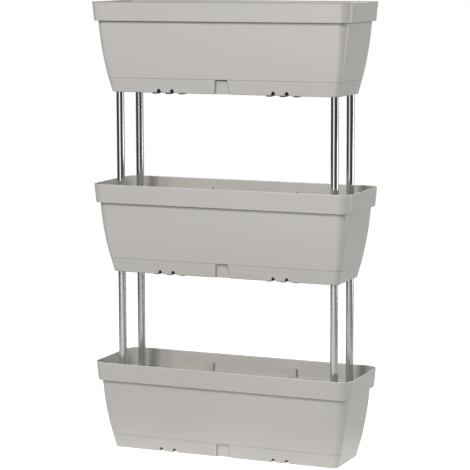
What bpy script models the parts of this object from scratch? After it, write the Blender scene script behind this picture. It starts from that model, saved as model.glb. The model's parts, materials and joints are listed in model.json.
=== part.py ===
"""Modular vertical planter: three identical troughs, each on a clip-on water tray,
stacked on eight steel tubes that stand on joining spigots in the trough floors.

Metres, +Z up. The origin is on the ground under the middle of the stack, X runs along
the troughs and the front of the planter faces -Y."""

import math

import bmesh
import bpy

# Stack
TIER_NAMES = ("lower", "middle", "upper")
TIER_PITCH = 0.394  # from one trough to the same place on the next

# Trough, outside sizes
MODULE_HEIGHT = 0.198  # from the feet to the top of the rim
RIM_LENGTH = 0.600
RIM_WIDTH = 0.194
RIM_HEIGHT = 0.041
RIM_FLARE = 0.004  # the rim leans out by this much on its way up
RIM_OVERHANG = 0.007  # the step from the rim in to the body
RIM_CORNER = 0.027
CORNER_TOP = 0.022  # corner radius of the body under the rim
CORNER_BASE = 0.0106  # and at the foot of the tray, where it is sharper
BELLY = 0.0034  # how far the walls swell beyond a straight taper
BASE_LENGTH = 0.526  # lower edge of the tray
BASE_WIDTH = 0.129
WALL = 0.0024
LIP_ROUND = 0.0009
EDGE_ROUND = 0.0005

# Trough, inside
FLOOR = 0.0026
FLOOR_FILLET = 0.006
LUG_X = 0.100  # stacking lugs on the ledge behind the rim
LUG_WIDTH = 0.020
LUG_DROP = 0.020  # their tops lie this far under the rim
WELL_SPACING = 0.150  # wells that reach down into the water tray
WELL_COUNT = 3
WELL_RADIUS = 0.024
WELL_DRAFT = 0.002
WELL_WALL = 0.002
WELL_SLOT = 0.003
SLOT_MARGIN = 0.0025
DRAIN_RADIUS = 0.004
DRAIN_Y = 0.035
TONGUE_X = 0.190  # tongues under the floor that hold the tray
TONGUE_WIDTH = 0.024
TONGUE_THICKNESS = 0.002
TONGUE_DROP = 0.009

# Tray
FOOT_DROP = 0.003  # the feet reach this far below the skirt
TRAY_HEIGHT = 0.031  # from the skirt's edge to the joint with the trough
TRAY_WALL = 0.0022
TRAY_INSET = 0.0005  # the tray lies this far inside the trough's surface
TRAY_FLOOR = 0.0022
SKIRT_DEPTH = 0.008  # the hollow below the tray's floor
SKIRT_ROUND = 0.0018
RECESS_TOP_WIDTH = 0.0286
RECESS_BOTTOM_WIDTH = 0.037
RECESS_DEPTH = 0.006
OVERFLOW_HEIGHT = 0.0025
GROUP_X = 0.1325  # middle of each group of notches and feet
GROUP_PITCH = 0.031
NOTCH_WIDTH = 0.010
NOTCH_HEIGHT = 0.0078
FOOT_WIDTH = 0.0115
FOOT_LENGTH = 0.018
FOOT_SETBACK = 0.012  # from the skirt's edge to the front of a foot
COLLAR_WALL = 0.002
COLLAR_HEIGHT = 0.0088

# Tubes and spigots
TUBE_RADIUS = 0.0085
TUBE_WALL = 0.0012
TUBE_CHAMFER = 0.0004
TUBE_END_MARGIN = 0.014  # from the end of the base to a tube's axis
TUBE_SIDE_MARGIN = 0.017
SPIGOT_LENGTH = 0.020  # above the flange
SPIGOT_CHAMFER = 0.0015
FLANGE_RADIUS = 0.0125
FLANGE_THICKNESS = 0.003

# Clearances
SEAT_GAP = 0.0003  # between faces that rest on each other
SPIGOT_FIT = 0.0003
COLLAR_FIT = 0.0006
TONGUE_FIT = 0.0004

# Mesh detail
CORNER_STEPS = 5
OUTSIDE_STEPS = 5
INSIDE_STEPS = 4
TRAY_STEPS = 2
TUBE_STEPS = 20
SPIGOT_STEPS = 12
HOLE_STEPS = 12
WELL_STEPS = 16
DRAIN_STEPS = 8
OVERLAP = 0.001  # how far joined shapes run into each other, and cutters past a face

# Heights in one tier, counted from its feet
SKIRT_Z = FOOT_DROP
JOINT_Z = SKIRT_Z + TRAY_HEIGHT
TRAY_FLOOR_Z = SKIRT_Z + SKIRT_DEPTH
TRAY_FLOOR_TOP = TRAY_FLOOR_Z + TRAY_FLOOR
TROUGH_Z = JOINT_Z + SEAT_GAP
FLOOR_TOP = TROUGH_Z + FLOOR
RIM_Z = MODULE_HEIGHT - RIM_HEIGHT
FLANGE_Z = FLOOR_TOP + SEAT_GAP
FLANGE_TOP = FLANGE_Z + FLANGE_THICKNESS
SPIGOT_BOTTOM = TRAY_FLOOR_TOP + SEAT_GAP
SPIGOT_TOP = FLANGE_TOP + SPIGOT_LENGTH
TUBE_BOTTOM = FLANGE_TOP + SEAT_GAP
TUBE_LENGTH = TIER_PITCH + JOINT_Z - TUBE_BOTTOM

SPIGOT_RADIUS = TUBE_RADIUS - TUBE_WALL - SPIGOT_FIT
SPIGOT_HOLE = SPIGOT_RADIUS + SPIGOT_FIT
COLLAR_BORE = TUBE_RADIUS + COLLAR_FIT
TUBE_X = BASE_LENGTH / 2 - TUBE_END_MARGIN
TUBE_Y = BASE_WIDTH / 2 - TUBE_SIDE_MARGIN
CORNERS = {
    "front_left": (-TUBE_X, -TUBE_Y),
    "front_right": (TUBE_X, -TUBE_Y),
    "back_left": (-TUBE_X, TUBE_Y),
    "back_right": (TUBE_X, TUBE_Y),
}


# Scene helpers

def clear_scene():
    for obj in list(bpy.data.objects):
        bpy.data.objects.remove(obj, do_unlink=True)


def new_collection(name):
    collection = bpy.data.collections.new(name)
    bpy.context.scene.collection.children.link(collection)
    return collection


def new_material(name, color, roughness, metallic):
    material = bpy.data.materials.new(name)
    material.use_nodes = True
    shader = material.node_tree.nodes["Principled BSDF"]
    shader.inputs["Base Color"].default_value = (*color, 1)
    shader.inputs["Roughness"].default_value = roughness
    shader.inputs["Metallic"].default_value = metallic
    return material


def mesh_object(name, bm, collection):
    bmesh.ops.recalc_face_normals(bm, faces=bm.faces)
    mesh = bpy.data.meshes.new(name)
    bm.to_mesh(mesh)
    bm.free()
    obj = bpy.data.objects.new(name, mesh)
    collection.objects.link(obj)
    return obj


def cutter_object(name, bm):
    obj = mesh_object(name, bm, cutters)
    obj.hide_render = True
    obj.display_type = "WIRE"
    return obj


def combine(target, operand, operation):
    modifier = target.modifiers.new(operand.name, "BOOLEAN")
    modifier.operation = operation
    modifier.solver = "EXACT"
    modifier.object = operand


def finished_mesh(obj, sharp_angle):
    """The object's mesh with its modifiers applied and its round faces shaded smooth."""
    graph = bpy.context.evaluated_depsgraph_get()
    mesh = bpy.data.meshes.new_from_object(obj.evaluated_get(graph))
    mesh.name = obj.name
    mesh.shade_smooth()
    mesh.set_sharp_from_angle(angle=math.radians(sharp_angle))
    bpy.data.objects.remove(obj, do_unlink=True)
    return mesh


# Shapes

def rounded_ring(bm, half_x, half_y, corner, z):
    """Corner arcs of a rounded rectangle, as one ring of vertices."""
    ring = []
    for index, (sx, sy) in enumerate(((1, 1), (-1, 1), (-1, -1), (1, -1))):
        for step in range(CORNER_STEPS + 1):
            angle = math.pi / 2 * (index + step / CORNER_STEPS)
            x = sx * (half_x - corner) + corner * math.cos(angle)
            y = sy * (half_y - corner) + corner * math.sin(angle)
            ring.append(bm.verts.new((x, y, z)))
    return ring


def loft(sections):
    """A closed body through rounded rectangles, its first and last ones filled."""
    bm = bmesh.new()
    rings = [rounded_ring(bm, *section) for section in sections]
    for low, high in zip(rings, rings[1:]):
        for index in range(len(low)):
            after = (index + 1) % len(low)
            bm.faces.new((low[index], low[after], high[after], high[index]))
    bm.faces.new(rings[0])
    bm.faces.new(rings[-1])
    return bm


def body_section(z, inset=0.0):
    """Half length, half width and corner radius of the tapered wall at a height."""
    t = (z - SKIRT_Z) / (RIM_Z - SKIRT_Z)
    swell = BELLY * 4 * t * (1 - t) - inset
    top_x = RIM_LENGTH / 2 - RIM_FLARE - RIM_OVERHANG
    top_y = RIM_WIDTH / 2 - RIM_FLARE - RIM_OVERHANG
    half_x = BASE_LENGTH / 2 * (1 - t) + top_x * t + swell
    half_y = BASE_WIDTH / 2 * (1 - t) + top_y * t + swell
    corner = CORNER_BASE * (1 - t) + CORNER_TOP * t - inset
    return half_x, half_y, corner


def rim_section(z, inset=0.0):
    t = (z - RIM_Z) / (RIM_HEIGHT - LIP_ROUND)
    inset += RIM_FLARE * (1 - t)
    return RIM_LENGTH / 2 - inset, RIM_WIDTH / 2 - inset, RIM_CORNER - inset


def spread(low, high, steps):
    return [low + (high - low) * index / steps for index in range(steps + 1)]


def add_block(bm, low, high):
    for vert in bmesh.ops.create_cube(bm, size=1)["verts"]:
        vert.co = [low[axis] if vert.co[axis] < 0 else high[axis] for axis in range(3)]


def add_cone(bm, x, y, low, high, low_radius, high_radius, steps=HOLE_STEPS):
    cone = bmesh.ops.create_cone(
        bm, cap_ends=True, segments=steps, radius1=low_radius, radius2=high_radius, depth=high - low
    )
    bmesh.ops.translate(bm, verts=cone["verts"], vec=(x, y, (low + high) / 2))


def turned(name, profile, steps, closed):
    """A profile of (radius, height) points turned about Z by a Screw modifier."""
    bm = bmesh.new()
    verts = [bm.verts.new((radius, 0, height)) for radius, height in profile]
    pairs = list(zip(verts, verts[1:]))
    if closed:
        pairs.append((verts[-1], verts[0]))
    for pair in pairs:
        bm.edges.new(pair)
    mesh = bpy.data.meshes.new(name)
    bm.to_mesh(mesh)
    bm.free()
    obj = bpy.data.objects.new(name, mesh)
    parts.objects.link(obj)
    screw = obj.modifiers.new("Turn", "SCREW")
    screw.steps = screw.render_steps = steps
    screw.use_merge_vertices = True
    screw.merge_threshold = 0.00001
    return finished_mesh(obj, 40)


# Trough

def trough_body():
    """Outside up from the floor's edge, over the lip, and down the inside to the floor."""
    sections = [(*body_section(TROUGH_Z, EDGE_ROUND), TROUGH_Z)]
    for z in spread(TROUGH_Z + EDGE_ROUND, RIM_Z, OUTSIDE_STEPS):
        sections.append((*body_section(z), z))
    sections.append((*rim_section(RIM_Z, EDGE_ROUND), RIM_Z))
    sections.append((*rim_section(RIM_Z + EDGE_ROUND), RIM_Z + EDGE_ROUND))
    lip_z = MODULE_HEIGHT - LIP_ROUND
    sections.append((*rim_section(lip_z), lip_z))
    sections.append((*rim_section(MODULE_HEIGHT, LIP_ROUND), MODULE_HEIGHT))
    sections.append((*rim_section(MODULE_HEIGHT, WALL - LIP_ROUND), MODULE_HEIGHT))
    sections.append((*rim_section(lip_z, WALL), lip_z))
    ledge_z = RIM_Z + WALL
    sections.append((*rim_section(ledge_z, WALL), ledge_z))
    for z in reversed(spread(FLOOR_TOP + FLOOR_FILLET, ledge_z, INSIDE_STEPS)):
        sections.append((*body_section(z, WALL), z))
    fillet_z = FLOOR_TOP + FLOOR_FILLET * (1 - math.sqrt(0.5))
    fillet_inset = WALL + FLOOR_FILLET * (1 - math.sqrt(0.5))
    sections.append((*body_section(fillet_z, fillet_inset), fillet_z))
    sections.append((*body_section(FLOOR_TOP, WALL + FLOOR_FILLET), FLOOR_TOP))
    return mesh_object("trough", loft(sections), parts)


def well_places():
    return [(index - (WELL_COUNT - 1) / 2) * WELL_SPACING for index in range(WELL_COUNT)]


def drain_places():
    """Either side of every well, half way to the next one."""
    half = WELL_SPACING / 2
    return [well_places()[0] - half] + [x + half for x in well_places()]


def add_trough_pieces():
    """Lugs on the ledge, wells and tray tongues under the floor."""
    bm = bmesh.new()
    lug_top = MODULE_HEIGHT - LUG_DROP
    face_y = body_section(RIM_Z)[1] - WALL
    back_y = rim_section(RIM_Z)[1] - WALL + OVERLAP
    lean = RIM_FLARE * (lug_top - RIM_Z) / RIM_HEIGHT
    for sx in (-1, 1):
        for sy in (-1, 1):
            low_x = sx * LUG_X - LUG_WIDTH / 2
            lug = bmesh.ops.create_cube(bm, size=1)["verts"]
            for vert in lug:
                at_top = vert.co.z > 0
                y = face_y if vert.co.y < 0 else back_y + (lean if at_top else 0)
                z = lug_top if at_top else RIM_Z + OVERLAP
                vert.co = (low_x + (LUG_WIDTH if vert.co.x > 0 else 0), sy * y, z)
    combine(trough, cutter_object("lugs", bm), "UNION")

    bm = bmesh.new()
    well_z = TRAY_FLOOR_TOP + SEAT_GAP
    for x in well_places():
        low_radius = WELL_RADIUS - WELL_DRAFT
        add_cone(bm, x, 0, well_z, TROUGH_Z + OVERLAP, low_radius, WELL_RADIUS, WELL_STEPS)
    tongue_z = TROUGH_Z - TONGUE_DROP
    inner_x, inner_y, _ = body_section(tongue_z, TRAY_INSET + TRAY_WALL + TONGUE_FIT)
    half = TONGUE_WIDTH / 2
    top = TROUGH_Z + OVERLAP
    for side in (-1, 1):
        y = side * (inner_y - TONGUE_THICKNESS / 2)
        for x in (-TONGUE_X, TONGUE_X):
            low = (x - half, y - TONGUE_THICKNESS / 2, tongue_z)
            add_block(bm, low, (x + half, y + TONGUE_THICKNESS / 2, top))
        x = side * (inner_x - TONGUE_THICKNESS / 2)
        low = (x - TONGUE_THICKNESS / 2, -half, tongue_z)
        add_block(bm, low, (x + TONGUE_THICKNESS / 2, half, top))
    combine(trough, cutter_object("wells_and_tongues", bm), "UNION")


def cut_trough():
    """Insides of the wells, their slots, the drain holes and the spigot holes."""
    bm = bmesh.new()
    well_z = TRAY_FLOOR_TOP + SEAT_GAP
    inside_low = WELL_RADIUS - WELL_DRAFT - WELL_WALL
    for x in well_places():
        low, high = well_z + WELL_WALL, FLOOR_TOP + OVERLAP
        add_cone(bm, x, 0, low, high, inside_low, WELL_RADIUS - WELL_WALL, WELL_STEPS)
    for x in drain_places():
        for y in (-DRAIN_Y, DRAIN_Y):
            low, high = TROUGH_Z - OVERLAP, FLOOR_TOP + OVERLAP
            add_cone(bm, x, y, low, high, DRAIN_RADIUS, DRAIN_RADIUS, DRAIN_STEPS)
    for x, y in CORNERS.values():
        low, high = TROUGH_Z - OVERLAP, FLOOR_TOP + OVERLAP
        add_cone(bm, x, y, low, high, SPIGOT_HOLE, SPIGOT_HOLE)
    combine(trough, cutter_object("floor_holes", bm), "DIFFERENCE")

    reach = WELL_RADIUS + OVERLAP
    low, high = well_z + WELL_WALL + SLOT_MARGIN, TROUGH_Z - SLOT_MARGIN
    for name, half_x, half_y in (
        ("slots_along", reach, WELL_SLOT / 2),
        ("slots_across", WELL_SLOT / 2, reach),
    ):
        bm = bmesh.new()
        for x in well_places():
            add_block(bm, (x - half_x, -half_y, low), (x + half_x, half_y, high))
        combine(trough, cutter_object(name, bm), "DIFFERENCE")


# Tray

def tray_body():
    """From the middle of the tray's underside round the skirt and wall to its floor."""
    thick = TRAY_INSET + TRAY_WALL
    sections = [
        (*body_section(TRAY_FLOOR_Z, thick), TRAY_FLOOR_Z),
        (*body_section(SKIRT_Z, thick), SKIRT_Z),
        (*body_section(SKIRT_Z, TRAY_INSET + SKIRT_ROUND), SKIRT_Z),
    ]
    shift = SKIRT_ROUND * (1 - math.sqrt(0.5))
    sections.append((*body_section(SKIRT_Z + shift, TRAY_INSET + shift), SKIRT_Z + shift))
    for z in spread(SKIRT_Z + SKIRT_ROUND, JOINT_Z - EDGE_ROUND, TRAY_STEPS):
        sections.append((*body_section(z, TRAY_INSET), z))
    sections.append((*body_section(JOINT_Z, TRAY_INSET + EDGE_ROUND), JOINT_Z))
    sections.append((*body_section(JOINT_Z, thick), JOINT_Z))
    sections.append((*body_section(TRAY_FLOOR_TOP, thick), TRAY_FLOOR_TOP))
    return mesh_object("tray", loft(sections), parts)


def add_recess_block(bm, extra, depth, low_z, high_z, front):
    """A block behind the front wall that follows its slope, wider at the foot."""
    block = bmesh.ops.create_cube(bm, size=1)["verts"]
    for vert in block:
        z = high_z if vert.co.z > 0 else low_z
        t = (z - SKIRT_Z) / TRAY_HEIGHT
        half = (RECESS_BOTTOM_WIDTH * (1 - t) + RECESS_TOP_WIDTH * t) / 2 + extra
        bottom_y = body_section(SKIRT_Z, TRAY_INSET)[1]
        top_y = body_section(JOINT_Z, TRAY_INSET)[1]
        face_y = bottom_y * (1 - t) + top_y * t
        y = face_y - depth if vert.co.y > 0 else face_y + front
        vert.co = (half if vert.co.x > 0 else -half, -y, z)


def group_places(offsets):
    return [side * GROUP_X + offset * GROUP_PITCH for side in (-1, 1) for offset in offsets]


def add_tray_pieces(tray):
    """Wall behind the recess, feet under the floor and collars for the tubes."""
    bm = bmesh.new()
    add_recess_block(bm, TRAY_WALL, RECESS_DEPTH + TRAY_WALL, SKIRT_Z, JOINT_Z, -OVERLAP)
    combine(tray, cutter_object("recess_wall", bm), "UNION")

    bm = bmesh.new()
    foot_y = BASE_WIDTH / 2 - FOOT_SETBACK
    for x in group_places((-1, 0, 1)):
        for side in (-1, 1):
            low_y, high_y = sorted((side * foot_y, side * (foot_y - FOOT_LENGTH)))
            low = (x - FOOT_WIDTH / 2, low_y, 0)
            add_block(bm, low, (x + FOOT_WIDTH / 2, high_y, TRAY_FLOOR_Z + OVERLAP))
    for x, y in CORNERS.values():
        low, high = TRAY_FLOOR_TOP - OVERLAP, TRAY_FLOOR_TOP + COLLAR_HEIGHT
        add_cone(bm, x, y, low, high, COLLAR_BORE + COLLAR_WALL, COLLAR_BORE + COLLAR_WALL)
    combine(tray, cutter_object("feet_and_collars", bm), "UNION")


def cut_tray(tray, open_below):
    """Recess, overflow gap, notches and the collars' bores."""
    bm = bmesh.new()
    add_recess_block(bm, 0, RECESS_DEPTH, SKIRT_Z - OVERLAP, JOINT_Z + OVERLAP, WALL)
    combine(tray, cutter_object("recess", bm), "DIFFERENCE")

    bm = bmesh.new()
    top_y = body_section(JOINT_Z)[1]
    half = RECESS_TOP_WIDTH / 2
    low = (-half, -top_y - OVERLAP, JOINT_Z - OVERFLOW_HEIGHT)
    high = (half, -top_y + RECESS_DEPTH + TRAY_WALL + 2 * OVERLAP, JOINT_Z + OVERLAP)
    add_block(bm, low, high)
    floor_cut = TRAY_FLOOR_Z - OVERLAP if open_below else TRAY_FLOOR_TOP
    for x, y in CORNERS.values():
        top = TRAY_FLOOR_TOP + COLLAR_HEIGHT + OVERLAP
        add_cone(bm, x, y, floor_cut, top, COLLAR_BORE, COLLAR_BORE)
    combine(tray, cutter_object("overflow_and_bores", bm), "DIFFERENCE")

    bm = bmesh.new()
    skirt_inside = BASE_WIDTH / 2 - TRAY_INSET - TRAY_WALL - OVERLAP
    for x in group_places((-0.5, 0.5)):
        for side in (-1, 1):
            arch = bmesh.ops.create_cone(
                bm, cap_ends=True, segments=HOLE_STEPS, radius1=0.5, radius2=0.5, depth=1
            )["verts"]
            for vert in arch:
                across, up, along = vert.co
                y = skirt_inside if along < 0 else skirt_inside + TRAY_WALL + 4 * OVERLAP
                z = SKIRT_Z + up * 2 * NOTCH_HEIGHT
                vert.co = (x + across * NOTCH_WIDTH, side * y, z)
    combine(tray, cutter_object("notches", bm), "DIFFERENCE")


# Turned pieces

def tube_mesh():
    outer, inner = TUBE_RADIUS, TUBE_RADIUS - TUBE_WALL
    chamfer = TUBE_CHAMFER
    profile = [
        (outer - chamfer, TUBE_LENGTH),
        (outer, TUBE_LENGTH - chamfer),
        (outer, chamfer),
        (outer - chamfer, 0),
        (inner, 0),
        (inner, TUBE_LENGTH),
    ]
    return turned("tube", profile, TUBE_STEPS, closed=True)


def spigot_mesh():
    tip = SPIGOT_RADIUS - SPIGOT_CHAMFER
    profile = [
        (0, SPIGOT_TOP),
        (tip, SPIGOT_TOP),
        (SPIGOT_RADIUS, SPIGOT_TOP - SPIGOT_CHAMFER),
        (SPIGOT_RADIUS, FLANGE_TOP),
        (FLANGE_RADIUS, FLANGE_TOP),
        (FLANGE_RADIUS, FLANGE_Z),
        (SPIGOT_RADIUS, FLANGE_Z),
        (SPIGOT_RADIUS, SPIGOT_BOTTOM + SPIGOT_CHAMFER),
        (tip, SPIGOT_BOTTOM),
        (0, SPIGOT_BOTTOM),
    ]
    return turned("spigot", profile, SPIGOT_STEPS, closed=False)


# Assembly

def place(name, mesh, material, parent, location=(0, 0, 0)):
    """One piece of a tier, with a mesh it may share and a material of its own."""
    obj = bpy.data.objects.new(name, mesh)
    obj.parent = parent
    obj.location = location
    if not mesh.materials:
        mesh.materials.append(material)
    obj.material_slots[0].link = "OBJECT"
    obj.material_slots[0].material = material.copy()
    obj.material_slots[0].material.name = name
    parts.objects.link(obj)
    return obj


def tier(index, tray):
    """One module at its height, with the tubes that stand in it."""
    name = TIER_NAMES[index]
    module = bpy.data.objects.new(name + "_module", None)
    module.location = (0, 0, index * TIER_PITCH)
    parts.objects.link(module)
    place("trough_" + name, trough_mesh, plastic, module)
    place("tray_" + name, tray, plastic, module)
    for corner, (x, y) in CORNERS.items():
        place(f"spigot_{name}_{corner}", spigot, spigot_plastic, module, (x, y, 0))
        if index < len(TIER_NAMES) - 1:
            place(f"tube_{name}_{corner}", tube, zinc, module, (x, y, TUBE_BOTTOM))


clear_scene()
parts = new_collection("vertical_planter")
cutters = new_collection("cutters")
plastic = new_material("taupe plastic", (0.52, 0.50, 0.465), 0.5, 0.0)
spigot_plastic = new_material("grey plastic", (0.42, 0.405, 0.375), 0.5, 0.0)
zinc = new_material("zinc plated steel", (0.62, 0.63, 0.64), 0.3, 1.0)

trough = trough_body()
add_trough_pieces()
cut_trough()
trough_mesh = finished_mesh(trough, 35)

tray_meshes = {}
for open_below in (False, True):
    blank = tray_body()
    add_tray_pieces(blank)
    cut_tray(blank, open_below)
    tray_meshes[open_below] = finished_mesh(blank, 35)

tube = tube_mesh()
spigot = spigot_mesh()
for number in range(len(TIER_NAMES)):
    tier(number, tray_meshes[number > 0])
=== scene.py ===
import json
import math

import bmesh
import bpy
from mathutils import Matrix, Vector

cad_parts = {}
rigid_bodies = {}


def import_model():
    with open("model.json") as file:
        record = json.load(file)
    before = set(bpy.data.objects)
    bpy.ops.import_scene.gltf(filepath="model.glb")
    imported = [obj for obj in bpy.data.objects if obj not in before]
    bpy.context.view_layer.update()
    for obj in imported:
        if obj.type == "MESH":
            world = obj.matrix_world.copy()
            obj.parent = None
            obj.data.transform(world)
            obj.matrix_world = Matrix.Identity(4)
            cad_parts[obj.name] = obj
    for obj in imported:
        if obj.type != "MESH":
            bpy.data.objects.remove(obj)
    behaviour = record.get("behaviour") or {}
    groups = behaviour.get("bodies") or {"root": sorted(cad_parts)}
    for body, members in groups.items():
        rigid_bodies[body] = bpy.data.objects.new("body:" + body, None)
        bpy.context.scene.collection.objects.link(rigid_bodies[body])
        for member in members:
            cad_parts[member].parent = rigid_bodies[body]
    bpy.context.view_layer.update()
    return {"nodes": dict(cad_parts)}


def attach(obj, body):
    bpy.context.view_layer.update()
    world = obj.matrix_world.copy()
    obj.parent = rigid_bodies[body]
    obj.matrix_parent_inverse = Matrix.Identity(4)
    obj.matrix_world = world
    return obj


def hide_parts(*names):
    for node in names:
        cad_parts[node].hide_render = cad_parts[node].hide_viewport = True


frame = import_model()
print("frame loaded, with", len(frame["nodes"]), "nodes")

# The stack

stack = {
    "pitch": 0.394,  # from one trough to the same place on the next
    "tiers": ("lower", "middle", "upper"),
    "tubeX": 0.249,
    "tubeY": 0.0475,
}
corners = {
    "front_left": (-stack["tubeX"], -stack["tubeY"]),
    "front_right": (stack["tubeX"], -stack["tubeY"]),
    "back_left": (-stack["tubeX"], stack["tubeY"]),
    "back_right": (stack["tubeX"], stack["tubeY"]),
}

# Camera, at the photograph's angle

cameraView = {
    "lens": 155.657,
    "sensor": 36,
    "distance": 4.4058,
    "yaw": 23.369,  # round the planter, from its front towards its right end
    "pitch": 7.853,  # looking down
    "roll": -0.184,
    "side": 0.00105,
    "height": 0.48238,
}


def aimCamera(view):
    yaw, pitch, roll = (math.radians(view[name]) for name in ("yaw", "pitch", "roll"))
    level = math.cos(pitch)
    forward = Vector((-math.sin(yaw) * level, math.cos(yaw) * level, -math.sin(pitch)))
    right = Vector((math.cos(yaw), math.sin(yaw), 0))
    up = right.cross(forward)
    turnedRight = right * math.cos(roll) + up * math.sin(roll)
    turnedUp = up * math.cos(roll) - right * math.sin(roll)
    target = Vector((0, 0, view["height"])) + right * view["side"]
    turn = Matrix((turnedRight, turnedUp, -forward)).transposed()
    bpy.ops.object.camera_add(location=target - forward * view["distance"], rotation=turn.to_euler())
    camera = bpy.context.active_object
    camera.name = "photoCamera"
    camera.data.lens = view["lens"]
    camera.data.sensor_width = view["sensor"]
    camera.data.clip_end = 50
    bpy.context.scene.camera = camera


aimCamera(cameraView)
print("camera placed")


# Materials

class Value:
    # a value in a material: Python's own operators on it add the Math nodes
    def __init__(self, tree, socket=None):
        self.tree = tree
        self.socket = socket

    def node(self, kind, settings=None, sockets=None, output=0):
        made = self.tree.nodes.new(kind)
        for name, setting in (settings or {}).items():
            setattr(made, name, setting)
        for name, value in (sockets or {}).items():
            if isinstance(value, Value):
                self.tree.links.new(value.socket, made.inputs[name])
            else:
                made.inputs[name].default_value = value
        return Value(self.tree, made.outputs[output])

    def maths(self, operation, *values):
        return self.node("ShaderNodeMath", {"operation": operation}, dict(enumerate(values)))

    def __add__(self, other):
        return self.maths("ADD", self, other)

    def __radd__(self, other):
        return self.maths("ADD", other, self)

    def __sub__(self, other):
        return self.maths("SUBTRACT", self, other)

    def __rsub__(self, other):
        return self.maths("SUBTRACT", other, self)

    def __mul__(self, other):
        return self.maths("MULTIPLY", self, other)

    def __rmul__(self, other):
        return self.maths("MULTIPLY", other, self)

    def __truediv__(self, other):
        return self.maths("DIVIDE", self, other)

    def __rtruediv__(self, other):
        return self.maths("DIVIDE", other, self)

    def __mod__(self, other):
        return self.maths("FLOORED_MODULO", self, other)

    def __abs__(self):
        return self.maths("ABSOLUTE", self)

    def between(self, low, high):
        # 0 at low, 1 at high, and held beyond
        sockets = {"Value": self, "From Min": low, "From Max": high}
        return self.node("ShaderNodeMapRange", {"interpolation_type": "SMOOTHSTEP"}, sockets)

    def axis(self, name):
        return self.node("ShaderNodeSeparateXYZ", None, {0: self}, output=name)

    def stretched(self, scale):
        return self.node("ShaderNodeMapping", None, {"Vector": self, "Scale": scale})

    def noise(self, scale, detail, roughness=0.5):
        sockets = {"Vector": self, "Scale": scale, "Detail": detail, "Roughness": roughness}
        return self.node("ShaderNodeTexNoise", None, sockets)

    def bump(self, strength, depth, under=None):
        sockets = {"Strength": strength, "Distance": depth, "Height": self}
        if under:
            sockets["Normal"] = under
        return self.node("ShaderNodeBump", None, sockets)

    def mixed(self, low, high):
        # the colour low where this value is 0 and high where it is 1
        return self.node("ShaderNodeMix", {"data_type": "RGBA"}, {0: self, 6: low, 7: high}, output=2)


def startMaterial(name):
    material = bpy.data.materials.new(name)
    material.use_nodes = True
    tree = material.node_tree
    place = Value(tree).node("ShaderNodeTexCoord", output="Object")
    return material, tree.nodes["Principled BSDF"], place


def dress(place, shader, finish):
    for name, value in finish.items():
        if isinstance(value, Value):
            place.tree.links.new(value.socket, shader.inputs[name])
        else:
            shader.inputs[name].default_value = value


def tinted(color, factor):
    return (color[0] * factor, color[1] * factor, color[2] * factor, 1)


def beyond(value, edge):
    # how far the value lies outside the edge, on either side
    return value.maths("MAXIMUM", abs(value) - edge, 0)


def length(x, y):
    return x.maths("SQRT", x * x + y * y)


def outside(x, y, halfX, halfY):
    # how far a point lies from an upright rectangle round the middle
    return length(beyond(x, halfX), beyond(y, halfY))


# Plastic: warm light grey, satin, with faint flow marks. Where a mark has a pair of heights or
# distances, it starts at the first and is full at the second, in metres.

plasticFinish = {
    "color": (0.535, 0.516, 0.484),
    "tones": (0.955, 1.045),  # the darkest and the lightest of a wall
    "drift": 0.18,  # slow changes of tone over a wall
    "driftScale": 4,
    "flow": 0.12,  # faint streaks where the plastic ran in the mould
    "flowStretch": (2.5, 2.5, 46),
    "speck": 0.1,
    "speckScale": 850,
    "roughness": 0.31,
    "roughnessDrift": 0.1,
    "roughnessSpeck": 0.12,
    "specular": 0.8,
    "grainScale": 1500,
    "grainStrength": 0.35,
    "grainDepth": 0.00008,
    "dentScale": 9,
    "dentStrength": 0.12,
    "dentDepth": 0.004,
}
lipHighlight = {  # painted highlight: the lips of the two lower rims are painted lighter, in patches
    "height": (0.1958, 0.1974),
    "fadeUp": (0.6, 0.9),  # so that the top rim has none
    "patchScale": 60,
    "patches": (0.3, 0.6),
    "amount": 0.8,
    "tint": 1.4,
    "polish": 0.1,
}
topLipShade = {"height": (0.9838, 0.9848), "tint": 0.55}  # painted shade: the top rim's lip is painted darker


def mouldedPlastic(name, finish, tint=1.0, paintedShading=None):
    # the last argument gives the painted light and shade that only this piece has: masks, each with the
    # tint painted under it
    material, shader, place = startMaterial(name)
    x, y, z = (place.axis(axis) for axis in "XYZ")
    tierHeight = z % stack["pitch"]
    drift = place.noise(finish["driftScale"], 1)
    flow = place.stretched(finish["flowStretch"]).noise(1, 3, 0.6)
    speck = place.noise(finish["speckScale"], 1)
    tone = 0.5 + (drift - 0.5) * finish["drift"] + (flow - 0.5) * finish["flow"]
    tone = tone + (speck - 0.5) * finish["speck"]
    dark, light = (tinted(finish["color"], tint * shade) for shade in finish["tones"])
    color = tone.between(0, 1).mixed(dark, light)

    # painted highlight on the lips of the two lower rims, in patches; the plastic is also smoother there
    patches = place.noise(lipHighlight["patchScale"], 3, 0.7).between(*lipHighlight["patches"])
    highlitLip = tierHeight.between(*lipHighlight["height"]) * patches * (1 - z.between(*lipHighlight["fadeUp"]))
    color = (highlitLip * lipHighlight["amount"]).mixed(color, tinted(finish["color"], tint * lipHighlight["tint"]))
    # painted shade along the top rim's lip
    color = z.between(*topLipShade["height"]).mixed(color, tinted(finish["color"], tint * topLipShade["tint"]))
    for mask, shade in paintedShading(x, y, tierHeight) if paintedShading else ():
        color = mask.mixed(color, tinted(finish["color"], shade))

    roughness = finish["roughness"] + (drift - 0.5) * finish["roughnessDrift"]
    roughness = roughness + (speck - 0.5) * finish["roughnessSpeck"] - highlitLip * lipHighlight["polish"]
    grain = place.noise(finish["grainScale"], 1).bump(finish["grainStrength"], finish["grainDepth"])
    dents = place.noise(finish["dentScale"], 1).bump(finish["dentStrength"], finish["dentDepth"], grain)
    dress(place, shader, {
        "Base Color": color,
        "Roughness": roughness,
        "Normal": dents,
        "Specular IOR Level": finish["specular"],
    })
    return material


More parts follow.
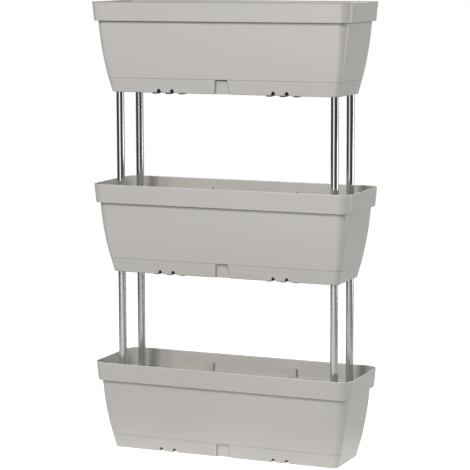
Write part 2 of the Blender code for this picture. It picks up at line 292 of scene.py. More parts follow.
rimShadow = {  # a dark line round the body, close under the rim
    "halfX": 0.267,  # the middles of the body's round corners
    "halfY": 0.064,
    "face": (0.0203, 0.0208),  # out from them, on the outer face alone
    "bottom": (0.1542, 0.1552),
    "top": (0.1566, 0.1569),
    "amount": 0.8,
    "tint": 0.3,
}


def troughPaintedShading(x, y, tierHeight):
    # painted shadow: a dark line on the body under the rim
    line = outside(x, y, rimShadow["halfX"], rimShadow["halfY"]).between(*rimShadow["face"])
    line = line * tierHeight.between(*rimShadow["bottom"])
    line = line * (1 - tierHeight.between(*rimShadow["top"]))
    return [(line * rimShadow["amount"], rimShadow["tint"])]


underside = {  # painted shade: under the tray's floor, inside the skirt, the plastic is painted nearly black
    "halfX": 0.2524,
    "halfY": 0.0539,
    "skirt": (0.0085, 0.0100),
    "height": (0.0122, 0.0127),
    "besideRecess": 0.024,  # none behind the recess
    "fade": (0, 0.002),
    "amount": 0.93,
    "tint": 0.04,
}
recessShade = {
    "halfWidth": 0.0189,  # of the recess, down at the ground
    "slope": 0.1355,
    "top": (0.034, 0.0345),
    "corner": (-0.0065, -0.0025),  # painted shade in its right corner
    "cornerEnd": (0, 0.0004),
    "cornerFront": (-0.04, -0.03),
    "cornerAmount": 0.5,
    "cornerTint": 0.3,
    "side": (0.0004, 0.0008),  # painted light on its left side
    "sideFront": (-0.06, -0.055),
    "sideTint": 1.35,
}


def trayPaintedShading(x, y, tierHeight):
    # painted shade under the floor, inside the skirt
    below = 1 - outside(x, y, underside["halfX"], underside["halfY"]).between(*underside["skirt"])
    below = below * (1 - tierHeight.between(*underside["height"]))
    below = below * beyond(x, underside["besideRecess"]).between(*underside["fade"])

    # painted shade in the recess's right corner, and painted light on its left side
    lowEnough = 1 - tierHeight.between(*recessShade["top"])
    narrower = tierHeight * recessShade["slope"]
    fromRight = x + narrower - recessShade["halfWidth"]
    corner = fromRight.between(*recessShade["corner"])
    corner = corner * (1 - fromRight.between(*recessShade["cornerEnd"]))
    corner = corner * (1 - y.between(*recessShade["cornerFront"])) * lowEnough
    fromLeft = abs(x - narrower + recessShade["halfWidth"])
    side = 1 - fromLeft.between(*recessShade["side"])
    side = side * (1 - y.between(*recessShade["sideFront"])) * lowEnough
    return [
        (below * underside["amount"], underside["tint"]),
        (corner * recessShade["cornerAmount"], recessShade["cornerTint"]),
        (side, recessShade["sideTint"]),
    ]


# Zinc: bright on the upper tubes, dull and spangled on the lower ones

zincFinish = {
    "middle": {
        "light": (0.66, 0.675, 0.67, 1),
        "dark": (0.57, 0.585, 0.585, 1),
        "metallic": 1.0,
        "roughness": 0.11,
        "roughnessPatches": 0.04,
        "spangle": 0.06,
        "relief": 0.000002,
    },
    "lower": {
        "light": (0.66, 0.675, 0.66, 1),
        "dark": (0.52, 0.545, 0.535, 1),
        "metallic": 0.8,
        "roughness": 0.2,
        "roughnessPatches": 0.12,
        "spangle": 0.5,
        "relief": 0.000006,
    },
}
zincPattern = {
    "spangleScale": 330,
    "spangleStretch": (1, 1, 0.55),  # longer along the tube
    "spangleSmoothness": 0.5,
    "spangleRoughness": 0.1,
    "spangleHeight": 0.4,
    "patchScale": 55,
    "patchStretch": (1, 1, 0.35),
    "patchTone": 1.2,
    "drawnStretch": (900, 900, 9),  # lines along the tube, from drawing the steel
    "drawnTone": 0.2,
    "bumpStrength": 0.3,
}


def zincSteel(name, finish):
    material, shader, place = startMaterial(name)
    cells = place.node("ShaderNodeTexVoronoi", {"feature": "SMOOTH_F1"}, {
        "Vector": place.stretched(zincPattern["spangleStretch"]),
        "Scale": zincPattern["spangleScale"],
        "Smoothness": zincPattern["spangleSmoothness"],
    }, output="Color")
    spangle = cells.axis("X")
    patch = place.stretched(zincPattern["patchStretch"]).noise(zincPattern["patchScale"], 3, 0.6)
    drawn = place.stretched(zincPattern["drawnStretch"]).noise(1, 2, 0.6)
    tone = 0.5 + (spangle - 0.5) * finish["spangle"] + (patch - 0.5) * zincPattern["patchTone"]
    tone = tone + (drawn - 0.5) * zincPattern["drawnTone"]
    roughness = finish["roughness"] + (patch - 0.5) * finish["roughnessPatches"]
    roughness = roughness + (spangle - 0.5) * finish["spangle"] * zincPattern["spangleRoughness"]
    relief = drawn + spangle * zincPattern["spangleHeight"]
    dress(place, shader, {
        "Base Color": tone.between(0, 1).mixed(finish["dark"], finish["light"]),
        "Metallic": finish["metallic"],
        "Roughness": roughness,
        "Normal": relief.bump(zincPattern["bumpStrength"], finish["relief"]),
    })
    return material


troughPlastic = mouldedPlastic("troughPlastic", plasticFinish, paintedShading=troughPaintedShading)
# painted shade: the trays are painted a little darker than the troughs
trayPlastic = mouldedPlastic("trayPlastic", plasticFinish, tint=0.985, paintedShading=trayPaintedShading)
spigotPlastic = mouldedPlastic("spigotPlastic", plasticFinish, tint=0.8)
zincTube = {tier: zincSteel("zinc" + tier.capitalize(), finish) for tier, finish in zincFinish.items()}
print("materials made")


# Modelling

def startPiece(name):
    bpy.ops.object.select_all(action="DESELECT")
    piece = bpy.data.objects.new(name, bpy.data.meshes.new(name))
    bpy.context.scene.collection.objects.link(piece)
    bpy.context.view_layer.objects.active = piece
    piece.select_set(True)
    bpy.ops.object.mode_set(mode="EDIT")
    return piece


def closePiece():
    bpy.ops.mesh.select_all(action="SELECT")
    bpy.ops.mesh.normals_make_consistent(inside=False)
    bpy.ops.object.mode_set(mode="OBJECT")


def pickOnly(piece):
    bpy.ops.object.select_all(action="DESELECT")
    bpy.context.view_layer.objects.active = piece
    piece.select_set(True)


def selectIn(kind, test):
    # selects the vertices, edges or faces of the piece in edit mode that pass the test
    bpy.ops.mesh.select_all(action="DESELECT")
    bpy.ops.mesh.select_mode(type={"verts": "VERT", "edges": "EDGE", "faces": "FACE"}[kind])
    mesh = bmesh.from_edit_mesh(bpy.context.active_object.data)
    for part in getattr(mesh, kind):
        if test(part):
            part.select_set(True)
    mesh.select_flush_mode()
    bmesh.update_edit_mesh(bpy.context.active_object.data)


def addRing(halfX, halfY, corner, z, cornerSteps):
    bpy.ops.mesh.select_all(action="DESELECT")
    bpy.ops.mesh.primitive_plane_add(size=2, location=(0, 0, z))
    bpy.ops.transform.resize(value=(halfX, halfY, 1))
    bpy.ops.mesh.bevel(offset=corner, affect="VERTICES", segments=cornerSteps, profile=0.5)
    bpy.ops.mesh.delete(type="ONLY_FACE")


def bridgeRings(sections, cornerSteps=12):
    # a wall through rounded rectangles, closed at both ends; they are bridged one above
    # another, because flat steps would pair the wrong corners, and then moved to their heights
    apart = 0.05
    ring = 4 * (cornerSteps + 1)
    for index, (halfX, halfY, corner, _) in enumerate(sections):
        addRing(halfX, halfY, corner, index * apart, cornerSteps)
    for index in range(len(sections) - 1):
        selectIn("verts", lambda vert: index * ring <= vert.index < (index + 2) * ring)
        bpy.ops.mesh.bridge_edge_loops()
    for first in (0, (len(sections) - 1) * ring):
        selectIn("verts", lambda vert: first <= vert.index < first + ring)
        bpy.ops.mesh.edge_face_add()
    bpy.ops.mesh.select_all(action="SELECT")
    bpy.ops.mesh.normals_make_consistent(inside=False)
    for index, (_, _, _, z) in enumerate(sections):
        selectIn("verts", lambda vert: index * ring <= vert.index < (index + 1) * ring)
        bpy.ops.transform.translate(value=(0, 0, z - index * apart))


def rounding(radius, steps):
    # inset and rise of the points of a quarter round, from its flat end to its upright end
    angles = [math.pi / 2 * step / steps for step in range(steps + 1)]
    return [(radius * (1 - math.sin(angle)), radius * (1 - math.cos(angle))) for angle in angles]


def spread(low, high, steps):
    return [low + (high - low) * step / steps for step in range(steps + 1)]


def addBlock(low, high, top=None, edge=0.0):
    # a block between two corners; top moves and narrows its upper face: (x, y, widthFactor)
    bpy.ops.mesh.select_mode(type="VERT")
    bpy.ops.mesh.select_all(action="DESELECT")
    middle = [(a + b) / 2 for a, b in zip(low, high)]
    half = [(b - a) / 2 for a, b in zip(low, high)]
    shiftX, shiftY, factor = top or (0, 0, 1)
    foot = (middle[0], middle[1], low[2])
    bpy.ops.mesh.primitive_plane_add(size=2, location=foot)
    bpy.ops.transform.resize(value=(half[0], half[1], 1), center_override=foot)
    bpy.ops.mesh.extrude_region_move(TRANSFORM_OT_translate={"value": (shiftX, shiftY, 2 * half[2])})
    bpy.ops.transform.resize(
        value=(factor, 1, 1), center_override=(middle[0] + shiftX, middle[1] + shiftY, high[2])
    )
    bpy.ops.mesh.select_linked()
    bpy.ops.mesh.normals_make_consistent(inside=False)
    if edge:
        bpy.ops.mesh.bevel(offset=edge, segments=2, affect="EDGES")


def addCone(x, y, low, high, lowRadius, highRadius, sides=40):
    bpy.ops.mesh.select_all(action="DESELECT")
    middle = (x, y, (low + high) / 2)
    bpy.ops.mesh.primitive_cone_add(
        vertices=sides, radius1=lowRadius, radius2=highRadius, depth=high - low, location=middle
    )


def carve(piece, cutter, operation):
    modifier = piece.modifiers.new(cutter.name, "BOOLEAN")
    modifier.operation = operation
    modifier.solver = "EXACT"
    modifier.object = cutter
    pickOnly(piece)
    bpy.ops.object.modifier_apply(modifier=modifier.name)
    bpy.data.objects.remove(cutter)


def joinPoints(piece, distance=0.000002):
    # points that the carving left on top of each other, and the faces of no area between them
    pickOnly(piece)
    bpy.ops.object.mode_set(mode="EDIT")
    bpy.ops.mesh.select_all(action="SELECT")
    bpy.ops.mesh.remove_doubles(threshold=distance)
    bpy.ops.mesh.dissolve_degenerate(threshold=distance)
    bpy.ops.object.mode_set(mode="OBJECT")


def smoothPiece(piece, angle=35):
    # rounds shaded smooth, long flat walls kept flat
    pickOnly(piece)
    bpy.ops.object.shade_smooth_by_angle(angle=math.radians(angle))
    modifier = piece.modifiers.new("flatWalls", "WEIGHTED_NORMAL")
    modifier.keep_sharp = True
    bpy.ops.object.modifier_apply(modifier=modifier.name)


def copyPiece(model, name, move):
    pickOnly(model)
    bpy.ops.object.duplicate()
    piece = bpy.context.active_object
    piece.name = piece.data.name = name
    bpy.ops.transform.translate(value=move)
    bpy.ops.object.transform_apply(location=True, rotation=True, scale=True)
    return piece


def useFor(piece, node, body, material):
    piece.data.materials.clear()
    piece.data.materials.append(material)
    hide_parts(node)
    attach(piece, body)


# Trough: tapered walls that swell a little, a stepped rim, lugs, wells and drains

trough = {
    "height": 0.198,
    "rimLength": 0.600,
    "rimWidth": 0.194,
    "rimHeight": 0.041,
    "rimFlare": 0.004,  # the rim leans out by this much
    "rimStep": 0.007,  # from the rim in to the body
    "rimCorner": 0.027,
    "rimEdge": 0.0009,
    "lipRound": 0.0011,
    "ledgeRound": 0.0015,  # inside, where the rim meets its step
    "ledgeEdge": 0.0006,
    "bodyCornerTop": 0.022,
    "bodyCornerBase": 0.0106,
    "bodyEdge": 0.0005,
    "belly": 0.0034,
    "baseLength": 0.526,
    "baseWidth": 0.129,
    "wall": 0.0024,
    "bottom": 0.0343,
    "floorTop": 0.0369,
    "floorFillet": 0.006,
    "lugX": 0.100,
    "lugWidth": 0.020,
    "lugTop": 0.178,
    "lugEdge": 0.0004,
    "wellPlaces": (-0.150, 0, 0.150),
    "wellRadius": 0.024,
    "wellDraft": 0.002,
    "wellWall": 0.002,
    "wellBottom": 0.0135,
    "wellSlot": 0.003,
    "wellSlotEnd": 0.0025,  # the slots stop this far from the well's top and bottom
    "drainPlaces": (-0.225, -0.075, 0.075, 0.225),
    "drainY": 0.035,
    "drainRadius": 0.004,
    "spigotHole": 0.0073,
    "tongueX": 0.190,
    "tongueWidth": 0.024,
    "tongueThickness": 0.002,
    "tongueDrop": 0.009,
    "tongueInset": 0.0031,  # past the tray's wall
    "tongueEdge": 0.0003,
}
skirtBottom = 0.003
rimBottom = trough["height"] - trough["rimHeight"]
overlap = 0.001


def bodyOutline(z, inset=0.0):
    t = (z - skirtBottom) / (rimBottom - skirtBottom)
    swell = trough["belly"] * 4 * t * (1 - t) - inset
    reach = trough["rimFlare"] + trough["rimStep"]
    halfX = trough["baseLength"] / 2 * (1 - t) + (trough["rimLength"] / 2 - reach) * t + swell
    halfY = trough["baseWidth"] / 2 * (1 - t) + (trough["rimWidth"] / 2 - reach) * t + swell
    corner = trough["bodyCornerBase"] * (1 - t) + trough["bodyCornerTop"] * t - inset
    return halfX, halfY, corner, z


def rimOutline(z, inset=0.0):
    t = (z - rimBottom) / (trough["rimHeight"] - trough["rimEdge"])
    inset = inset + trough["rimFlare"] * (1 - t)
    return trough["rimLength"] / 2 - inset, trough["rimWidth"] / 2 - inset, trough["rimCorner"] - inset, z


def makeTroughShell():
    # from the underside up the outer face, over the lip and down inside to the floor
    wall, top, bottom, floor = trough["wall"], trough["height"], trough["bottom"], trough["floorTop"]
    edge, fillet = trough["bodyEdge"], trough["floorFillet"]
    ledge, ledgeEdge = rimBottom + wall, trough["ledgeEdge"]
    lip, inRim = rounding(trough["lipRound"], 5), rounding(trough["ledgeRound"], 4)
    sections = [bodyOutline(bottom + rise, inset) for inset, rise in rounding(edge, 3)]
    sections += [bodyOutline(z) for z in spread(bottom + edge, rimBottom, 14)[1:]]
    sections += [rimOutline(rimBottom + rise, inset) for inset, rise in rounding(trough["rimEdge"], 4)]
    sections += [rimOutline(top - rise, inset) for inset, rise in reversed(lip)]
    sections += [rimOutline(top - rise, wall - inset) for inset, rise in lip]
    sections += [rimOutline(ledge + inset, wall + rise) for inset, rise in inRim]
    sections += [bodyOutline(ledge - rise, wall - inset) for inset, rise in rounding(ledgeEdge, 3)]
    sections += [bodyOutline(z, wall) for z in spread(ledge - ledgeEdge, floor + fillet, 12)[1:-1]]
    sections += [bodyOutline(floor + inset, wall + rise) for inset, rise in rounding(fillet, 6)]
    shell = startPiece("troughModel")
    bridgeRings(sections)
    closePiece()
    return shell


def makeTrough():
    shell = makeTroughShell()

    lugs = startPiece("lugs")
    inner = bodyOutline(rimBottom)[1] - trough["wall"]
    outer = rimOutline(rimBottom)[1] - trough["wall"] + overlap
    lean = trough["rimFlare"] * (trough["lugTop"] - rimBottom) / trough["rimHeight"]
    half = trough["lugWidth"] / 2
    for x in (-trough["lugX"], trough["lugX"]):
        for side in (-1, 1):
            low, high = sorted((side * inner, side * outer))
            addBlock(
                (x - half, low, rimBottom + overlap), (x + half, high, trough["lugTop"]),
                top=(0, side * lean / 2, 1), edge=trough["lugEdge"],
            )
    closePiece()
    carve(shell, lugs, "UNION")

    pieces = startPiece("wellsAndTongues")
    for x in trough["wellPlaces"]:
        radius, top = trough["wellRadius"], trough["bottom"] + overlap
        addCone(x, 0, trough["wellBottom"], top, radius - trough["wellDraft"], radius, sides=48)
    tongueBottom = trough["bottom"] - trough["tongueDrop"]
    innerX, innerY, _, _ = bodyOutline(tongueBottom, trough["tongueInset"])
    half, thick, top = trough["tongueWidth"] / 2, trough["tongueThickness"], trough["bottom"] + overlap
    for side in (-1, 1):
        low, high = sorted((side * innerY, side * (innerY - thick)))
        for x in (-trough["tongueX"], trough["tongueX"]):
            addBlock((x - half, low, tongueBottom), (x + half, high, top), edge=trough["tongueEdge"])
        low, high = sorted((side * innerX, side * (innerX - thick)))
        addBlock((low, -half, tongueBottom), (high, half, top), edge=trough["tongueEdge"])
    closePiece()
    carve(shell, pieces, "UNION")

    holes = startPiece("floorHoles")
    radius = trough["wellRadius"] - trough["wellWall"]
    for x in trough["wellPlaces"]:
        low, high = trough["wellBottom"] + trough["wellWall"], trough["floorTop"] + overlap
        addCone(x, 0, low, high, radius - trough["wellDraft"], radius, sides=48)
    low, high = trough["bottom"] - overlap, trough["floorTop"] + overlap
    for x in trough["drainPlaces"]:
        for y in (-trough["drainY"], trough["drainY"]):
            addCone(x, y, low, high, trough["drainRadius"], trough["drainRadius"], sides=28)
    for x, y in corners.values():
        addCone(x, y, low, high, trough["spigotHole"], trough["spigotHole"])
    closePiece()
    carve(shell, holes, "DIFFERENCE")

    reach, half = trough["wellRadius"] + overlap, trough["wellSlot"] / 2
    low = trough["wellBottom"] + trough["wellWall"] + trough["wellSlotEnd"]
    high = trough["bottom"] - trough["wellSlotEnd"]
    for halfX, halfY in ((reach, half), (half, reach)):
        slots = startPiece("slots")
        for x in trough["wellPlaces"]:
            addBlock((x - halfX, -halfY, low), (x + halfX, halfY, high))
        closePiece()
        carve(shell, slots, "DIFFERENCE")
    smoothPiece(shell)
    return shell


troughModel = makeTrough()
print("trough modelled")


# Tray: clips on below the trough, with a recess in front, notches, feet and tube collars

tray = {
    "joint": 0.034,
    "jointEdge": 0.0005,
    "floorBottom": 0.011,
    "floorTop": 0.0132,
    "floorFillet": 0.0012,
    "wall": 0.0022,
    "inset": 0.0005,
    "innerEdge": 0.0003,
    "skirtRound": 0.0018,
    "recessTop": 0.0286,
    "recessBottom": 0.037,
    "recessDepth": 0.006,
    "recessFront": 0.0024,  # how far in front of the wall the cut for it starts
    "overflow": 0.0017,
    "groupX": 0.1325,
    "groupPitch": 0.031,
    "notchWidth": 0.010,
    "notchHeight": 0.0093,
    "footWidth": 0.0115,
    "footFront": 0.0525,
    "footBack": 0.0345,
    "footEdge": 0.0006,
    "ribPlace": 0.0515,  # a thin rib between the feet, behind the notches
    "ribThickness": 0.0015,
    "collarBore": 0.0091,
    "collarWall": 0.002,
    "collarTop": 0.022,
}


def groupPlaces(offsets):
    return [side * tray["groupX"] + offset * tray["groupPitch"] for side in (-1, 1) for offset in offsets]


def addRecessBlock(extra, depth, low, high, front):
    # follows the slope of the front wall, wider at the foot
    footY = bodyOutline(skirtBottom, tray["inset"])[1]
    jointY = bodyOutline(tray["joint"], tray["inset"])[1]

    def halfAndFace(z):
        t = (z - skirtBottom) / (tray["joint"] - skirtBottom)
        width = tray["recessBottom"] * (1 - t) + tray["recessTop"] * t
        return width / 2 + extra, footY * (1 - t) + jointY * t

    half, face = halfAndFace(low)
    topHalf, topFace = halfAndFace(high)
    addBlock((-half, -face - front, low), (half, -face + depth, high), (0, face - topFace, topHalf / half))


def makeTrayShell(name):
    # from the floor's underside round the skirt, up the outer face and down inside to the floor
    inset, thick, innerEdge = tray["inset"], tray["inset"] + tray["wall"], tray["innerEdge"]
    joint, jointEdge, floor = tray["joint"], tray["jointEdge"], tray["floorTop"]
    skirtRound, fillet = tray["skirtRound"], tray["floorFillet"]
    sections = [bodyOutline(tray["floorBottom"], thick), bodyOutline(skirtBottom + innerEdge, thick)]
    sections += [bodyOutline(skirtBottom, thick - innerEdge)]
    sections += [bodyOutline(skirtBottom + rise, inset + more) for more, rise in rounding(skirtRound, 6)]
    straight = spread(skirtBottom + skirtRound, joint - jointEdge, 4)[1:-1]
    sections += [bodyOutline(z, inset) for z in straight]
    upperEdge = reversed(rounding(jointEdge, 3))
    sections += [bodyOutline(joint - rise, inset + more) for more, rise in upperEdge]
    sections += [bodyOutline(joint, thick - innerEdge), bodyOutline(joint - innerEdge, thick)]
    sections += [bodyOutline(floor + more, thick + rise) for more, rise in rounding(fillet, 3)]
    shell = startPiece(name)
    bridgeRings(sections)
    closePiece()
    return shell


def makeTray(name, openBelow):
    joint, floorTop = tray["joint"], tray["floorTop"]
    shell = makeTrayShell(name)

    wall = startPiece("recessWall")
    addRecessBlock(tray["wall"], tray["recessDepth"] + tray["wall"], skirtBottom, joint, -overlap)
    closePiece()
    carve(shell, wall, "UNION")

    pieces = startPiece("feetAndCollars")
    half = tray["footWidth"] / 2
    for x in groupPlaces((-1, 0, 1)):
        for side in (-1, 1):
            low, high = sorted((side * tray["footFront"], side * tray["footBack"]))
            top = tray["floorBottom"] + overlap
            addBlock((x - half, low, 0), (x + half, high, top), edge=tray["footEdge"])
    radius = tray["collarBore"] + tray["collarWall"]
    for x, y in corners.values():
        addCone(x, y, floorTop - overlap, tray["collarTop"], radius, radius)
    closePiece()
    carve(shell, pieces, "UNION")

    recess = startPiece("recess")
    addRecessBlock(0, tray["recessDepth"], skirtBottom - overlap, joint + overlap, tray["recessFront"])
    closePiece()
    carve(shell, recess, "DIFFERENCE")

    gaps = startPiece("overflowAndBores")
    half, face = tray["recessTop"] / 2, bodyOutline(joint)[1]
    back = -face + tray["recessDepth"] + tray["wall"] + 2 * overlap
    addBlock((-half, -face - overlap, joint - tray["overflow"]), (half, back, joint + overlap))
    low = tray["floorBottom"] - overlap if openBelow else floorTop
    for x, y in corners.values():
        addCone(x, y, low, tray["collarTop"] + overlap, tray["collarBore"], tray["collarBore"])
    closePiece()
    carve(shell, gaps, "DIFFERENCE")

    ribs = startPiece("ribs")
    half = (tray["groupPitch"] - tray["footWidth"]) / 2 + overlap
    front, back = tray["ribPlace"], tray["ribPlace"] - tray["ribThickness"]
    for x in groupPlaces((-0.5, 0.5)):
        for side in (-1, 1):
            low, high = sorted((side * front, side * back))
            addBlock((x - half, low, skirtBottom), (x + half, high, tray["floorBottom"] + overlap))
    closePiece()
    carve(shell, ribs, "UNION")

    notches = startPiece("notches")
    inside = trough["baseWidth"] / 2 - tray["inset"] - tray["wall"] - overlap
    depth = tray["wall"] + 4 * overlap
    for x in groupPlaces((-0.5, 0.5)):
        for side in (-1, 1):
            bpy.ops.mesh.select_all(action="DESELECT")
            bpy.ops.mesh.primitive_cylinder_add(
                vertices=32, radius=0.5, depth=1,
                location=(x, side * (inside + depth / 2), skirtBottom), rotation=(math.pi / 2, 0, 0),
                scale=(tray["notchWidth"], 2 * tray["notchHeight"], depth),
            )
    closePiece()
    carve(shell, notches, "DIFFERENCE")
    joinPoints(shell)
    smoothPiece(shell)
    return shell


closedTray = makeTray("closedTray", False)
openTray = makeTray("openTray", True)
print("trays modelled")


# Tube: thin steel tube with chamfered ends

tube = {
    "radius": 0.0085,
    "wall": 0.0012,
    "bottom": 0.0405,
    "length": 0.3875,
    "chamfer": 0.0004,
    "sides": 64,
}
tolerance = 0.0001  # for edges that are picked by their place


def makeTube():
    bottom, top = tube["bottom"], tube["bottom"] + tube["length"]
    model = startPiece("tubeModel")
    addCone(0, 0, bottom, top, tube["radius"], tube["radius"], tube["sides"])
    selectIn("faces", lambda face: abs(face.normal.z) > 0.9)
    bpy.ops.mesh.inset(thickness=tube["wall"], use_individual=True)
    bpy.ops.mesh.bridge_edge_loops()
    middle = tube["radius"] - tube["wall"] / 2

    def onOuterEnd(vert):
        fromEnd = min(abs(vert.co.z - bottom), abs(vert.co.z - top))
        return vert.co.xy.length > middle and fromEnd < tolerance

    selectIn("edges", lambda edge: all(onOuterEnd(vert) for vert in edge.verts))
    bpy.ops.mesh.bevel(offset=tube["chamfer"], segments=2, affect="EDGES")
    closePiece()
    smoothPiece(model)
    return model


tubeModel = makeTube()
print("tube modelled")


# Spigot: a pin each way from a flange, the upper one hollow, which joins a tube to the trough's floor

spigot = {
    "flangeRadius": 0.0125,
    "flangeBottom": 0.0372,
    "flangeTop": 0.0402,
    "flangeEdge": 0.0005,
    "pinRadius": 0.007,
    "pinTop": 0.0602,
    "pinBottom": 0.0135,
    "tip": 0.0015,
    "bore": 0.0045,
    "boreBottom": 0.043,
}


def makeSpigot():
    model = startPiece("spigotModel")
    flange, pin, tip = spigot["flangeRadius"], spigot["pinRadius"], spigot["tip"]
    addCone(0, 0, spigot["flangeBottom"], spigot["flangeTop"], flange, flange, sides=48)
    for sign, end in ((1, spigot["pinTop"]), (-1, spigot["pinBottom"])):
        start = spigot["flangeTop"] if sign > 0 else spigot["flangeBottom"]
        straight = end - sign * tip - start
        selectIn("faces", lambda face: face.normal.z * sign > 0.9)
        bpy.ops.mesh.inset(thickness=flange - pin)
        bpy.ops.mesh.extrude_region_move(TRANSFORM_OT_translate={"value": (0, 0, straight)})
        bpy.ops.mesh.extrude_region_move(TRANSFORM_OT_translate={"value": (0, 0, sign * tip)})
        narrow = (pin - tip) / pin
        bpy.ops.transform.resize(value=(narrow, narrow, 1), center_override=(0, 0, end))

    def onTip(face):
        return face.normal.z > 0.9 and face.calc_center_median().z > spigot["pinTop"] - tolerance

    def onFlangeEdge(edge):
        onRim = all(abs(vert.co.xy.length - flange) < tolerance for vert in edge.verts)
        return onRim and edge.verts[0].co.z == edge.verts[1].co.z

    selectIn("faces", onTip)
    bpy.ops.mesh.inset(thickness=pin - tip - spigot["bore"])
    drop = spigot["boreBottom"] - spigot["pinTop"]
    bpy.ops.mesh.extrude_region_move(TRANSFORM_OT_translate={"value": (0, 0, drop)})
    selectIn("edges", onFlangeEdge)
    bpy.ops.mesh.bevel(offset=spigot["flangeEdge"], segments=3, affect="EDGES")
    closePiece()
    smoothPiece(model)
    return model


spigotModel = makeSpigot()
print("spigot modelled")


# Each tier gets its own copies

def title(words):
    return "".join(word.capitalize() for word in words.split("_"))


for number, tier in enumerate(stack["tiers"]):
    lift = number * stack["pitch"]
    trayBody = "base_tray" if number == 0 else tier + "_tray"
    piece = copyPiece(troughModel, "trough" + title(tier), (0, 0, lift))
    useFor(piece, "trough_" + tier, tier + "_module", troughPlastic)
    piece = copyPiece(openTray if number else closedTray, "tray" + title(tier), (0, 0, lift))
    useFor(piece, "tray_" + tier, trayBody, trayPlastic)
    for corner, (x, y) in corners.items():
        piece = copyPiece(spigotModel, "spigot" + title(tier + "_" + corner), (x, y, lift))
        useFor(piece, f"spigot_{tier}_{corner}", tier + "_module", spigotPlastic)
        if tier in zincTube:
            piece = copyPiece(tubeModel, "tube" + title(tier + "_" + corner), (x, y, lift))
            useFor(piece, f"tube_{tier}_{corner}", tier + "_module", zincTube[tier])
for model in (troughModel, closedTray, openTray, tubeModel, spigotModel):
    bpy.data.objects.remove(model)
print("tiers assembled")


# Studio: a white paper floor, softboxes high in front, on the right and behind, and low
# panels and a narrow strip that the tubes and the round corners mirror

studio = {
    "paperWidth": 3.0,
    "paperLength": 7.0,
    "paperTurn": 5,
    "paperColor": (0.5, 0.5, 0.5, 1),
    "paperGlow": 0.93,  # seen by the camera alone
    "tableGlow": 0.48,  # light that comes up through the paper round the foot of the planter
    "tableReach": 0.20,
    "sheen": 0.25,  # of the paper, as the tubes mirror it
    "sheenInFront": 0.55,
    "sheenEdge": (0.88, 0.98),  # as the cosine of the angle from straight in front
    "ambient": 0.235,
    "mirroredRoom": 0.07,  # the room round the planter, as the tubes mirror it
    "mirroredWindow": 0.5,
    "windowAzimuth": 164,
    "windowEdge": (0.75, 0.9),
}
lamps = {  # upright panels that face the planter; azimuth 0 is in front and 90 on its right
    "key": {"azimuth": -12, "distance": 4.0, "low": 3.0, "high": 4.7, "width": 1.7, "radiance": 21.5},
    "middle": {"azimuth": 0, "distance": 4.0, "low": 1.2, "high": 2.6, "width": 1.6, "radiance": 3.0},
    "keyFoot": {"azimuth": -4, "distance": 2.8, "low": 0.02, "high": 0.9, "width": 1.7, "radiance": 1.4},
    "fill": {
        "azimuth": 112, "distance": 2.6, "low": 0.9, "high": 2.4, "width": 1.2, "radiance": 2.1,
        "blue": 0.92,
    },
    "strip": {"azimuth": 108, "distance": 1.6, "low": 0.12, "high": 1.2, "width": 0.3, "radiance": 4.2},
    "fillFoot": {"azimuth": 98, "distance": 2.6, "low": 0.02, "high": 0.5, "width": 0.8, "radiance": 1.6},
    "behind": {"azimuth": 180, "distance": 2.2, "low": 1.6, "high": 3.2, "width": 1.6, "radiance": 5.5},
}
white = (1, 1, 1, 1)


def towards(azimuth):
    angle = math.radians(azimuth)
    return Vector((math.sin(angle), -math.cos(angle), 0))


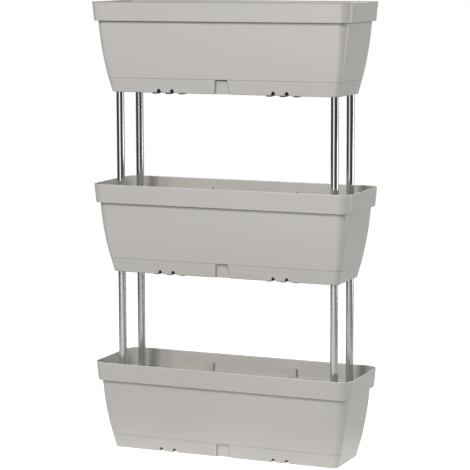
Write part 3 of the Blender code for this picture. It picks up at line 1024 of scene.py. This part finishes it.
def makeFloor():
    bpy.ops.object.select_all(action="DESELECT")
    turn = math.radians(studio["paperTurn"])
    bpy.ops.mesh.primitive_plane_add(size=1, location=(0, 0, 0), rotation=(0, 0, turn))
    floor = bpy.context.active_object
    floor.scale = (studio["paperWidth"], studio["paperLength"], 1)
    bpy.ops.object.transform_apply(location=True, rotation=True, scale=True)
    floor.name = "floor"
    material = bpy.data.materials.new("paleFloor")
    material.use_nodes = True
    tree = material.node_tree
    tree.nodes.clear()
    start = Value(tree)
    place = start.node("ShaderNodeTexCoord", output="Object")
    x, y = (place.axis(axis) for axis in "XY")
    away = outside(x, y, trough["baseLength"] / 2, trough["baseWidth"] / 2)
    table = (1 - away.between(0, studio["tableReach"])) * studio["tableGlow"]
    ahead = (y * -1 / length(x, y)).between(*studio["sheenEdge"])
    sheen = studio["sheen"] + ahead * (studio["sheenInFront"] - studio["sheen"])
    camera = start.node("ShaderNodeLightPath", output="Is Camera Ray")
    glossy = start.node("ShaderNodeLightPath", output="Is Glossy Ray")
    strength = camera * studio["paperGlow"] + glossy * sheen + table
    paint = start.node("ShaderNodeBsdfDiffuse", None, {"Color": studio["paperColor"]})
    glow = start.node("ShaderNodeEmission", None, {"Color": white, "Strength": strength})
    both = start.node("ShaderNodeAddShader", None, {0: paint, 1: glow})
    surface = tree.nodes.new("ShaderNodeOutputMaterial")
    tree.links.new(both.socket, surface.inputs["Surface"])
    floor.data.materials.append(material)


def addLamp(name, lamp):
    tall = lamp["high"] - lamp["low"]
    place = towards(lamp["azimuth"]) * lamp["distance"]
    place.z = (lamp["high"] + lamp["low"]) / 2
    turn = (math.pi / 2, 0, math.radians(lamp["azimuth"]))
    bpy.ops.object.light_add(type="AREA", location=place, rotation=turn)
    light = bpy.context.active_object
    light.name = name
    light.data.shape = "RECTANGLE"
    light.data.size = lamp["width"]
    light.data.size_y = tall
    light.data.color = (1, 1, lamp.get("blue", 1))
    light.data.energy = lamp["radiance"] * math.pi * lamp["width"] * tall
    light.visible_camera = False


def makeWorld():
    # the camera sees white; the tubes mirror a dim room with one window behind the planter
    world = bpy.data.worlds.new("studioWorld")
    bpy.context.scene.world = world
    world.use_nodes = True
    background = world.node_tree.nodes["Background"]
    start = Value(world.node_tree)
    direction = start.node("ShaderNodeTexCoord", output="Generated")
    facing = start.node("ShaderNodeVectorMath", {"operation": "DOT_PRODUCT"}, {
        0: direction, 1: towards(studio["windowAzimuth"]),
    }, output="Value")
    room, window = studio["mirroredRoom"], studio["mirroredWindow"]
    mirrored = room + facing.between(*studio["windowEdge"]) * (window - room)
    camera = start.node("ShaderNodeLightPath", output="Is Camera Ray")
    glossy = start.node("ShaderNodeLightPath", output="Is Glossy Ray")
    level = (1 - glossy) * studio["ambient"] + glossy * mirrored
    strength = (1 - camera) * level + camera
    world.node_tree.links.new(strength.socket, background.inputs["Strength"])
    background.inputs["Color"].default_value = white


makeFloor()
for name, lamp in lamps.items():
    addLamp(name, lamp)
makeWorld()
bpy.context.scene.view_settings.view_transform = "Standard"
print("studio lit")
